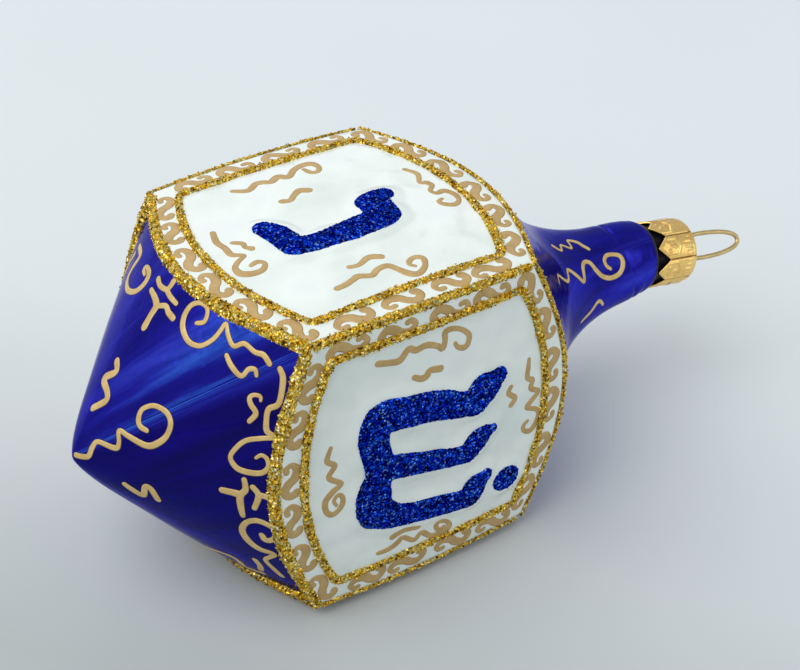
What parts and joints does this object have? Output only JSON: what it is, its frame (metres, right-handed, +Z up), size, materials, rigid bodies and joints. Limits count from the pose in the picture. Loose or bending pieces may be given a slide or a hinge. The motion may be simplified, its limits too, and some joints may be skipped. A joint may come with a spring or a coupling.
{
  "type": "dreidel",
  "caption": "Hollow glass dreidel with a square pillowed body, a four-sided point, a flared neck, raised glitter beads and letters, and a sprung wire hanging loop in a stamped cap.",
  "frame": {"origin": "under the middle of the overall length, on the plane that the dreidel lies on", "axes": "+X along the body axis from the point towards the neck, +Z up out of the nun face, +Y out of the gimel face"},
  "size_m": [0.1308, 0.054, 0.054],
  "materials": {
    "blue_lacquered_glass": "cobalt-blue transparent lacquer over silvered blown glass, glossy",
    "white_enamel": "glossy white enamel, slightly pearly",
    "gold_glitter": "raised bead of coarse gold glitter",
    "blue_glitter": "raised coat of fine cobalt-blue glitter",
    "dark_lacquer": "dark lacquer round the mouth of the neck",
    "gold_cap": "thin stamped gold-coloured sheet metal",
    "brass_wire": "dull drawn spring wire"
  },
  "bodies": {
    "ornament": {"glass_body": "blue_lacquered_glass", "nun_face_enamel": "white_enamel", "gimel_face_enamel": "white_enamel", "hei_face_enamel": "white_enamel", "shin_face_enamel": "white_enamel", "point_border_bead": "gold_glitter", "neck_border_bead": "gold_glitter", "edge_bead_shin_nun": "gold_glitter", "edge_bead_nun_gimel": "gold_glitter", "edge_bead_gimel_hei": "gold_glitter", "edge_bead_hei_shin": "gold_glitter", "nun_frame_bead": "gold_glitter", "gimel_frame_bead": "gold_glitter", "hei_frame_bead": "gold_glitter", "shin_frame_bead": "gold_glitter", "nun_letter": "blue_glitter", "gimel_letter": "blue_glitter", "hei_letter": "blue_glitter", "shin_letter": "blue_glitter", "mouth_coat": "dark_lacquer"},
    "hanger": {"wire_hanger": "brass_wire"},
    "cap": {"crown_cap": "gold_cap"}
  },
  "joints": [
    {"name": "hanger_turn", "type": "hinge", "parent": "ornament", "child": "hanger", "pos_m": [0.03984, 0, 0.02504], "axis": [0.987, -0.075, -0.1422], "continuous": true},
    {"name": "cap_lift", "type": "slide", "parent": "hanger", "child": "cap", "axis": [0.987, -0.075, -0.1422], "range_m": [0, 0.0095]}
  ]
}
